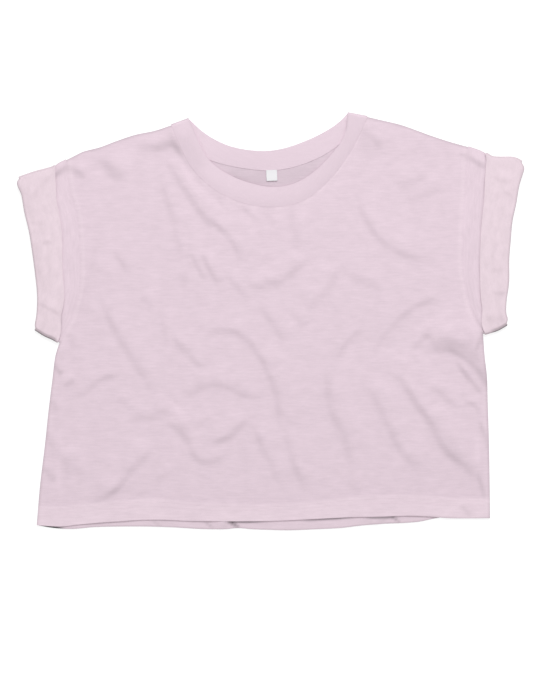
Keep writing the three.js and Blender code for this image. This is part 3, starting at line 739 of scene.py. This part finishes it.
def back_panel():
    us, vs = body_places(160, 124)
    u, v = np.meshgrid(us, vs)
    flat = body_surface(BACK_HEM, BACK_NECK_SEAM)(u, v)
    x, y = flat[..., 0], flat[..., 1]
    hem = hem_amount(v)
    thickness = JERSEY + hem * HEM_EXTRA
    free = 1 - ease(v * BODY_HEIGHT, 6, 26)
    wave = free * (0.25 + 0.3 * ripples(x, y, 22, 1.7)) * ease(np.minimum(u, 1 - u), 0, 0.05)
    relief = creases(x, y, BACK_CREASES)[0] * free + wave
    middle = lift(x, y) + 0.12 + thickness / 2 + np.maximum(relief, 0)
    grid = np.dstack([x, y, middle])
    from_side = np.minimum(u, 1 - u) * BODY_WIDTH
    # Painted shade along the outlines, and the spots' painted shadow in the gap above the hem and painted
    # shade inside the neck.
    shade = np.minimum(edge_shade(from_side, v * BODY_HEIGHT) + spot_shade(x, y, BACK_PAINTED_SHADE), 0.95)
    piece = shell("back", grid, thickness, dense=hem, shade=shade)
    return piece, surface_sampler(grid - vertex_normals(grid, False) * thickness[..., None] / 2, us, vs)


# Tubes: sleeves, cuffs and the neckband


def round_tube(steps, bends):
    """Places round a flattened tube, as in the solids: along it, and the turn from straight up."""
    there = np.linspace(0, 1, steps + 1)
    turn = np.linspace(0, math.pi, bends + 1)[1:-1]
    along = np.concatenate([there, np.ones(bends - 1), there[::-1], np.zeros(bends - 1)])
    turns = np.concatenate([0 * there, turn, 0 * there + math.pi, math.pi + turn])
    return along, turns


def unit(vector):
    return vector / np.linalg.norm(vector, axis=-1, keepdims=True)


def past_fold(direction, upper):
    """Square to a fold line, out of the cloth."""
    past = unit(np.stack([-direction[..., 1], direction[..., 0]], -1))
    flip = np.where((past[..., 1] > 0) == upper, 1, -1)
    return past * flip[..., None]


SLEEVE_HALF = LAYER_PITCH / 2
CUFF_HALF = SLEEVE_HALF + LAYER_PITCH
FOLD_HALF = (CUFF_HALF - SLEEVE_HALF) / 2
TUBE_STEPS = 88
TUBE_BENDS = 8


def tube_ring(side, share, out, half, relief):
    """One ring of a sleeve or cuff. relief(x, y, along) is what its upper layer adds."""
    surface, _ = SHAPES[side]
    along, turn = round_tube(TUBE_STEPS, TUBE_BENDS)
    nudge = 0.01
    across = share(along)
    flat = surface(along, across)
    outward = unit(surface(along, across + nudge) - surface(along, across - nudge))
    flat = flat + outward * out
    flat = flat + past_fold(outward, along < 0.5) * (np.abs(np.sin(turn)) * half)[:, None]
    x, y = flat.T
    centre = LAYER_PITCH / 2 + CAD_CLOTH / 2
    z = lift(x, y) + centre + half * np.cos(turn)
    z = z + np.where(turn == 0, relief(x, y, along), 0)
    return np.stack([x, y, z], -1)


def fold_shade(turn, rows):
    """Painted shade: dark lines where a tube is folded flat and its cloth turns away from the light."""
    return np.tile(EDGE_SHADE * np.abs(np.sin(turn)) ** 0.5, (len(rows), 1))


def tube_weave(grid):
    """Places on the cloth of a tube, along its rows and across them."""
    step = np.linalg.norm(np.diff(grid, axis=1, append=grid[:, :1]), axis=-1)
    round_it = np.cumsum(step, axis=1) - step
    over = np.linalg.norm(np.diff(grid, axis=0, prepend=grid[:1]), axis=-1)
    return np.dstack([round_it, np.cumsum(over, axis=0)])


def width_at(side, along):
    surface, _ = SHAPES[side]
    return np.linalg.norm(surface(along, 1.0) - surface(along, 0.0), axis=-1)


def fold_axis(side, along):
    return 1 - (FOLD_HALF + CAD_CLOTH / 2) / width_at(side, along)


def sleeve(side):
    seed = {"left": 2.2, "right": 5.4}[side]

    def share_at(k):
        return lambda along: k * (fold_axis(side, along) - (CUFF_LIP + CAD_GAP) / width_at(side, along))

    def relief(x, y, along, k):
        ends = ease(along, 0, 0.06) * ease(1 - along, 0, 0.06) * ease(k, 0, 0.16)
        return ends * (0.3 + 0.25 * ripples(x * 4, y, 40, seed) + creases(x, y, CREASES)[0])

    rows = []
    for k in np.r_[0, 0.006, 0.018, np.linspace(0.04, 1, 26)]:
        upper = lambda x, y, along, k=k: relief(x, y, along, k)
        rows.append(tube_ring(side, share_at(k), 0, SLEEVE_HALF, upper))
    grid = np.array(rows)
    dense = np.full(grid.shape[:2], 0.12)
    _, turn = round_tube(TUBE_STEPS, TUBE_BENDS)
    x, y = grid[..., 0], grid[..., 1]
    edge = CUFF_EDGES[side]
    from_cuff = np.abs(x - np.interp(y, edge[:, 1], edge[:, 0]))
    # Painted shadow on the sleeve along the cuff's free edge, with painted shade along its folds and on the
    # creases' flanks.
    cuff_shadow = {"left": 0.06, "right": 0.16}[side] * ridge(from_cuff, 0, 1.3)
    shade = fold_shade(turn, rows) + (creases(x, y, CREASES)[1] + cuff_shadow) * (turn == 0)
    return shell(f"sleeve_{side}_cloth", grid, JERSEY, True, tube_weave(grid), dense, shade, 0.01)


def cuff(side):
    _, cuff_share = SHAPES[side]
    seed = {"left": 8.3, "right": 4.9}[side]
    axis = lambda along: fold_axis(side, along)
    rows = []
    outer = np.r_[0, 0.02, np.linspace(0.06, 1, 20)]
    for k in outer:
        puff = CUFF_PUFF * (1 - k * k)

        def relief(x, y, along, puff=puff, k=k):
            ends = np.sin(math.pi * along)
            soft = creases(x, y, CUFF_CREASES)[0] + 0.35 * ripples(x, y, 24, seed)
            sink = CUFF_SINK * math.exp(-((k / 0.2) ** 2))
            return (puff - sink) * ends + soft * ease(along, 0, 0.04) * ease(1 - along, 0, 0.04) * (1 - k**4)

        share = lambda along, k=k: mix(cuff_share(along), axis(along), k)
        rows.append(tube_ring(side, share, 0, CUFF_HALF, relief))
    flat = lambda x, y, along: 0
    for angle in np.linspace(0, math.pi, 9)[1:]:
        half = SLEEVE_HALF + FOLD_HALF * (1 + math.cos(angle))
        rows.append(tube_ring(side, axis, FOLD_HALF * math.sin(angle), half, flat))
    for k in (0.5, 1):
        share = lambda along, k=k: axis(along) - k * CUFF_LIP / width_at(side, along)
        rows.append(tube_ring(side, share, 0, SLEEVE_HALF, flat))
    grid = np.array(rows)
    dense = np.ones(grid.shape[:2])
    along, turn = round_tube(TUBE_STEPS, TUBE_BENDS)
    # Painted shade: dark lines along the folds and where the cuff turns under at the sleeve's end, a painted
    # shadow under the cuff's lower end at the underarm (underneath), and painted shade on the cuff creases'
    # flanks.
    fold = np.array([0.0] * (len(outer) - 1) + [0.6] + [1.0] * (len(rows) - len(outer)))
    shade = np.maximum(fold_shade(turn, rows), EDGE_SHADE * fold[:, None])
    underneath = UNDERARM_SHADE * np.abs(np.sin(turn)) ** 1.2 * (along > 0.5)
    underneath = np.maximum(underneath, 0.35 * ease(along, 0.986, 1) * (turn == 0))
    first, full = {"left": (1, 4), "right": (3, 11)}[side]
    shade = np.maximum(shade, underneath * ease(np.arange(len(rows))[:, None], first, full))
    shade = shade + creases(grid[..., 0], grid[..., 1], CUFF_CREASES)[1] * (turn == 0)
    return shell(f"cuff_{side}_cloth", grid, JERSEY, True, tube_weave(grid), dense, shade)


def neckband():
    steps, bends, across = 110, 8, 14
    along, turn = round_tube(steps, bends)
    front = np.cos(turn) > 0
    edges = spline(FRONT_NECK_EDGE), spline(BACK_NECK_EDGE)
    seams = spline(FRONT_NECK_SEAM), spline(BACK_NECK_SEAM)
    edge = np.where(front[:, None], edges[0](along), edges[1](along))
    seam = np.where(front[:, None], seams[0](along), seams[1](along))
    half = LAYER_PITCH / 2
    centre = RIB / 2 + 0.01 + half
    past = past_fold(seam - edge, np.full(along.shape, True))
    rows = []
    for k in np.r_[0, 0.012, 0.04, np.linspace(0.08, 0.92, across), 0.96, 0.988, 1]:
        flat = mix(edge, seam, k) + past * (np.abs(np.sin(turn)) * half)[:, None]
        puff = 0.45 * math.sin(math.pi * k) * ease(np.abs(np.cos(turn)), 0.9, 1)
        z = centre + half * np.cos(turn) + np.where(front, puff - 0.25 * ease(k, 0.75, 1), 0.4 * puff)
        rows.append(np.column_stack([flat, z]))
    grid = np.array(rows)
    # Painted shade along the band's folds and in spots on its front; painted light (shade below 0) over the
    # back half seen inside the neck; and a painted dark line along the back half's free edge.
    shade = fold_shade(turn, rows)
    shade += spot_shade(grid[..., 0], grid[..., 1], BAND_PAINTED_SHADE) * front
    shade -= 0.055 * ~front
    shade[0] = np.maximum(shade[0], np.where(front, 0.0, 0.2))
    return shell("neckband_cloth", grid, RIB, True, tube_weave(grid), np.ones(grid.shape[:2]), shade, 0.01)


def size_label():
    """A folded satin label: down from the neck seam, round its lower edge and back up underneath."""
    layer = 0.28
    gap = 0.12
    x0, y0 = LABEL_TOP
    across = np.linspace(-LABEL_WIDTH / 2, LABEL_WIDTH / 2, 15)
    down = np.linspace(0, LABEL_LENGTH - 0.4, 16)
    bend = np.linspace(0, math.pi, 7)[1:-1]
    turn = (layer + gap) / 2
    y = np.concatenate([-down, -down[-1] - turn * np.sin(bend), -down[::-1]])
    z = np.concatenate([0 * down + turn, turn * np.cos(bend), 0 * down - turn])
    base = CAD_CLOTH + CAD_GAP + 0.1 + turn + layer / 2
    local_x, local_y = np.meshgrid(across, y)
    _, height = np.meshgrid(across, z)
    curl = 0.35 * ease(-local_y, 2, LABEL_LENGTH) * (1 + 0.4 * local_x / LABEL_WIDTH)
    cos, sin = math.cos(LABEL_TILT), math.sin(LABEL_TILT)
    x = x0 + cos * local_x - sin * local_y
    y = y0 + sin * local_x + cos * local_y
    grid = np.dstack([x, y, base + height + curl])[::-1]
    return shell("size_label_satin", grid, layer, edge=0.08)


# Materials


class Nodes:
    """A short way to write a node tree."""

    def __init__(self, name, roughness, sheen=0.0, specular=0.25):
        self.material = bpy.data.materials.new(name)
        self.material.use_nodes = True
        self.tree = self.material.node_tree
        self.shader = self.tree.nodes["Principled BSDF"]
        self.shader.inputs["Roughness"].default_value = roughness
        self.shader.inputs["Specular IOR Level"].default_value = specular
        self.shader.inputs["Sheen Weight"].default_value = sheen
        self.shader.inputs["Sheen Roughness"].default_value = 0.5

    def set(self, node, socket, value):
        if isinstance(value, bpy.types.NodeSocket):
            self.tree.links.new(value, node.inputs[socket])
        else:
            node.inputs[socket].default_value = value

    def math(self, operation, a, b=0.0, c=0.0):
        node = self.tree.nodes.new("ShaderNodeMath")
        node.operation = operation
        for socket, value in enumerate((a, b, c)):
            self.set(node, socket, value)
        return node.outputs[0]

    def attribute(self, name, output):
        node = self.tree.nodes.new("ShaderNodeAttribute")
        node.attribute_name = name
        return node.outputs[output]

    def split(self, vector):
        node = self.tree.nodes.new("ShaderNodeSeparateXYZ")
        self.set(node, 0, vector)
        return node.outputs

    def stretch(self, vector, scale):
        node = self.tree.nodes.new("ShaderNodeMapping")
        self.set(node, "Vector", vector)
        self.set(node, "Scale", scale)
        return node.outputs[0]

    def noise(self, vector, scale, detail=2.0, rough=0.5):
        node = self.tree.nodes.new("ShaderNodeTexNoise")
        self.set(node, "Vector", vector)
        self.set(node, "Scale", scale)
        self.set(node, "Detail", detail)
        self.set(node, "Roughness", rough)
        return node.outputs["Fac"]

    def blend(self, share, a, b):
        node = self.tree.nodes.new("ShaderNodeMix")
        node.data_type = "RGBA"
        self.set(node, "Factor", share)
        self.set(node, "A", a)
        self.set(node, "B", b)
        return node.outputs["Result"]

    def tint(self, colour, amount):
        """Multiplies a colour by a number."""
        node = self.tree.nodes.new("ShaderNodeVectorMath")
        node.operation = "SCALE"
        self.set(node, 0, colour if isinstance(colour, bpy.types.NodeSocket) else colour[:3])
        self.set(node, "Scale", amount)
        return node.outputs[0]

    def bump(self, height, distance, strength=1.0):
        node = self.tree.nodes.new("ShaderNodeBump")
        self.set(node, "Strength", strength)
        self.set(node, "Distance", distance)
        self.set(node, "Height", height)
        self.set(self.shader, "Normal", node.outputs[0])

    def colour(self, value):
        # The shade attribute is painted shade and light: the colour is multiplied by one less it, so it
        # darkens above 0 and lightens below 0.
        left = self.math("SUBTRACT", 1.0, self.attribute("shade", "Fac"))
        self.set(self.shader, "Base Color", self.tint(value, left))


def linear(red, green, blue, gain=1.0):
    """A display colour from 0 to 255 as scene light, scaled by gain."""
    parts = [c / 255 for c in (red, green, blue)]
    return (*[gain * (c / 12.92 if c < 0.04045 else ((c + 0.055) / 1.055) ** 2.4) for c in parts], 1.0)


ALBEDO = 0.9  # from a colour as photographed to the cloth's own
JERSEY_WALE, JERSEY_COURSE, RIB_WALE = 0.9 * MM, 0.75 * MM, 1.3 * MM


def jersey(name, thin, doubled, slubs=(55, 480)):
    """Single jersey: plain colour with faint slubs along its courses, and small V stitches."""
    n = Nodes(name, roughness=0.93, sheen=0.12)
    place = n.attribute("weave", "Vector")
    colour = n.blend(n.attribute("dense", "Fac"), linear(*thin, ALBEDO), linear(*doubled, ALBEDO))
    slub = n.noise(n.stretch(place, (*slubs, 1)), 1.0, 3.0, 0.65)
    mottle = n.noise(n.stretch(place, (60, 110, 1)), 1.0, 4.0, 0.6)
    grain = n.noise(place, 900, 2.0, 0.6)
    tone = n.math("MULTIPLY_ADD", slub, 0.18, 0.77)
    tone = n.math("MULTIPLY_ADD", mottle, 0.16, tone)
    tone = n.math("MULTIPLY_ADD", grain, 0.12, tone)
    n.colour(n.tint(colour, tone))
    x, y, _ = n.split(place)
    across = n.math("FRACT", n.math("DIVIDE", x, JERSEY_WALE))
    off = n.math("ABSOLUTE", n.math("SUBTRACT", across, 0.5))
    lean = n.math("MULTIPLY_ADD", off, -0.9, n.math("DIVIDE", y, JERSEY_COURSE))
    stitch = n.math("SINE", n.math("MULTIPLY", lean, 2 * math.pi))
    leg = n.math("SINE", n.math("MULTIPLY", off, 2 * math.pi))
    height = n.math("MULTIPLY_ADD", stitch, 0.35, leg)
    height = n.math("MULTIPLY_ADD", slub, 1.6, height)
    n.bump(height, 0.06 * MM, 0.55)
    return n.material


def rib(name, colour):
    """Fine rib, its wales across the band."""
    n = Nodes(name, roughness=0.92, sheen=0.12)
    place = n.attribute("weave", "Vector")
    grain = n.noise(place, 500, 2.0, 0.6)
    mottle = n.noise(place, 130, 3.0, 0.6)
    tone = n.math("MULTIPLY_ADD", grain, 0.06, 0.935)
    tone = n.math("MULTIPLY_ADD", mottle, 0.07, tone)
    n.colour(n.tint(linear(*colour, ALBEDO), tone))
    x, y, _ = n.split(place)
    ribs = n.math("SINE", n.math("MULTIPLY", x, 2 * math.pi / RIB_WALE))
    loops = n.math("SINE", n.math("MULTIPLY", y, 2 * math.pi / (0.7 * MM)))
    n.bump(n.math("MULTIPLY_ADD", loops, 0.25, ribs), 0.09 * MM, 0.5)
    return n.material


def satin(name, colour):
    n = Nodes(name, roughness=0.42, sheen=0.05, specular=0.45)
    place = n.attribute("weave", "Vector")
    x, y, _ = n.split(place)
    warp = n.math("SINE", n.math("MULTIPLY", x, 2 * math.pi / (0.22 * MM)))
    weft = n.math("SINE", n.math("MULTIPLY", y, 2 * math.pi / (0.35 * MM)))
    grain = n.noise(place, 900, 2.0, 0.6)
    n.colour(n.tint(linear(*colour, 0.9), n.math("MULTIPLY_ADD", grain, 0.04, 0.97)))
    n.bump(n.math("MULTIPLY_ADD", warp, 0.5, weft), 0.02 * MM, 0.4)
    return n.material


def thread(name, colour):
    n = Nodes(name, roughness=0.7, sheen=0.1, specular=0.35)
    geometry = n.tree.nodes.new("ShaderNodeTexCoord")
    twist = n.noise(n.stretch(geometry.outputs["Object"], (6000, 2500, 2500)), 1.0, 1.0)
    n.colour(n.tint(linear(*colour, ALBEDO), n.math("MULTIPLY_ADD", twist, 0.1, 0.94)))
    n.bump(twist, 0.05 * MM, 0.5)
    return n.material


def paper(name):
    """The pale floor, which stays white right up to the cloth."""
    n = Nodes(name, roughness=0.9, specular=0.1)
    grain = n.noise(n.tree.nodes.new("ShaderNodeTexCoord").outputs["Object"], 30, 2.0)
    n.colour(n.tint((0.42, 0.42, 0.42, 1), n.math("MULTIPLY_ADD", grain, 0.01, 0.99)))
    n.shader.inputs["Emission Color"].default_value = (1, 1, 1, 1)
    n.shader.inputs["Emission Strength"].default_value = 0.68
    return n.material


BODY = (228.0, 208.0, 219.0)
BODY_DOUBLED = (236.0, 216.5, 226.5)
# The back's duller reverse side, darkened further with painted shade for where it lies in the neck opening
# under the band.
INSIDE_AND_SHADE = (217.0, 198.5, 209.0)
INSIDE_HEM = (228.0, 208.5, 219.0)
CUFF = (231.5, 212.8, 221.5)
BAND = (230.0, 210.0, 221.0)
LABEL = (236, 235, 237.5)
THREAD = (238, 218, 229)


# The garment

front, front_face = front_panel()
back, back_face = back_panel()
sleeve_left, sleeve_right = sleeve("left"), sleeve("right")
cuff_left, cuff_right = cuff("left"), cuff("right")
band = neckband()
label = size_label()

STITCH = {"length": 2.6, "pitch": 3.0, "radius": 0.13}
hem_line = np.linspace(0.004, 0.996, 400)


def hem_rows(face, sink):
    rows = []
    for depth in HEM_GROOVES[::-1]:
        line = face(hem_line, np.full(hem_line.shape, depth / BODY_HEIGHT))
        line[:, 2] += sink
        rows.append(line)
    return rows


front_thread = stitches("hem_stitching_front", hem_rows(front_face, 0.02), **STITCH)
back_thread = stitches("hem_stitching_back", hem_rows(back_face, 0.12), **STITCH)

fabric = jersey("body_jersey", BODY, BODY_DOUBLED)
inside = jersey("body_jersey_reverse_and_shade", INSIDE_AND_SHADE, INSIDE_HEM)
turned = jersey("cuff_jersey", CUFF, CUFF, slubs=(90, 150))
ribbing = rib("neck_rib", BAND)
white = satin("label_satin", LABEL)
sewing = thread("sewing_thread", THREAD)

# Each piece with its material, the solid that it stands for and the record's slot
PIECES = [
    (front, fabric, "front_panel", "body_jersey"),
    (back, inside, "back_panel", "body_jersey"),
    (sleeve_left, fabric, "sleeve_left", "body_jersey"),
    (sleeve_right, fabric, "sleeve_right", "body_jersey"),
    (cuff_left, turned, "cuff_left", "cuff_jersey"),
    (cuff_right, turned, "cuff_right", "cuff_jersey"),
    (band, ribbing, "neckband", "neck_rib"),
    (label, white, "size_label", "label_satin"),
    (front_thread, sewing, None, "body_jersey"),
    (back_thread, sewing, None, "body_jersey"),
]

shift = -Vector(BOX_MIDDLE) * MM
for piece, material, node, slot in PIECES:
    piece.data.materials.append(material)
    for vertex in piece.data.vertices:
        vertex.co.x += shift.x
        vertex.co.y += shift.y
    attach(piece, "root")
    if node:
        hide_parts(node)


# Floor, light and camera


def floor():
    bpy.ops.mesh.primitive_plane_add(size=12)
    plane = bpy.context.object
    plane.name = "floor"
    plane.data.materials.append(paper("paper"))


def soft_light(name, azimuth, elevation, distance, size, power):
    """A square soft light that looks at the garment. Azimuth 0 is at the neck's side, 90 at +X."""
    data = bpy.data.lights.new(name, "AREA")
    data.size = size
    data.energy = power
    lamp = bpy.data.objects.new(name, data)
    a, e = math.radians(azimuth), math.radians(elevation)
    way = Vector((math.sin(a) * math.cos(e), math.cos(a) * math.cos(e), math.sin(e)))
    lamp.location = way * distance
    lamp.rotation_euler = way.to_track_quat("Z", "Y").to_euler()
    bpy.context.scene.collection.objects.link(lamp)


def world(strength):
    scene = bpy.context.scene
    scene.world = scene.world or bpy.data.worlds.new("studio")
    scene.world.use_nodes = True
    background = scene.world.node_tree.nodes["Background"]
    background.inputs["Color"].default_value = (1, 1, 1, 1)
    background.inputs["Strength"].default_value = strength


def camera():
    """Straight above, as the photo was taken: 1.2 mm a pixel over 542 by 690 pixels."""
    per_pixel = 1.2 * MM
    width, height = 542, 690
    middle = (271.4, 322.2)  # the pixel where the drawing's frame has its origin
    distance = 3.2
    data = bpy.data.cameras.new("camera")
    data.sensor_width = 36
    data.lens = data.sensor_width * distance / (height * per_pixel)
    view = bpy.data.objects.new("camera", data)
    x = (width / 2 - middle[0]) * per_pixel + shift.x
    y = (middle[1] - height / 2) * per_pixel + shift.y
    view.location = (x, y, distance)
    bpy.context.scene.collection.objects.link(view)
    bpy.context.scene.camera = view


floor()
soft_light("key", 8, 42, 3.6, 1.7, 80)
soft_light("fill", 200, 60, 3.0, 2.5, 6)
world(0.675)
camera()
bpy.context.scene.view_settings.view_transform = "Standard"
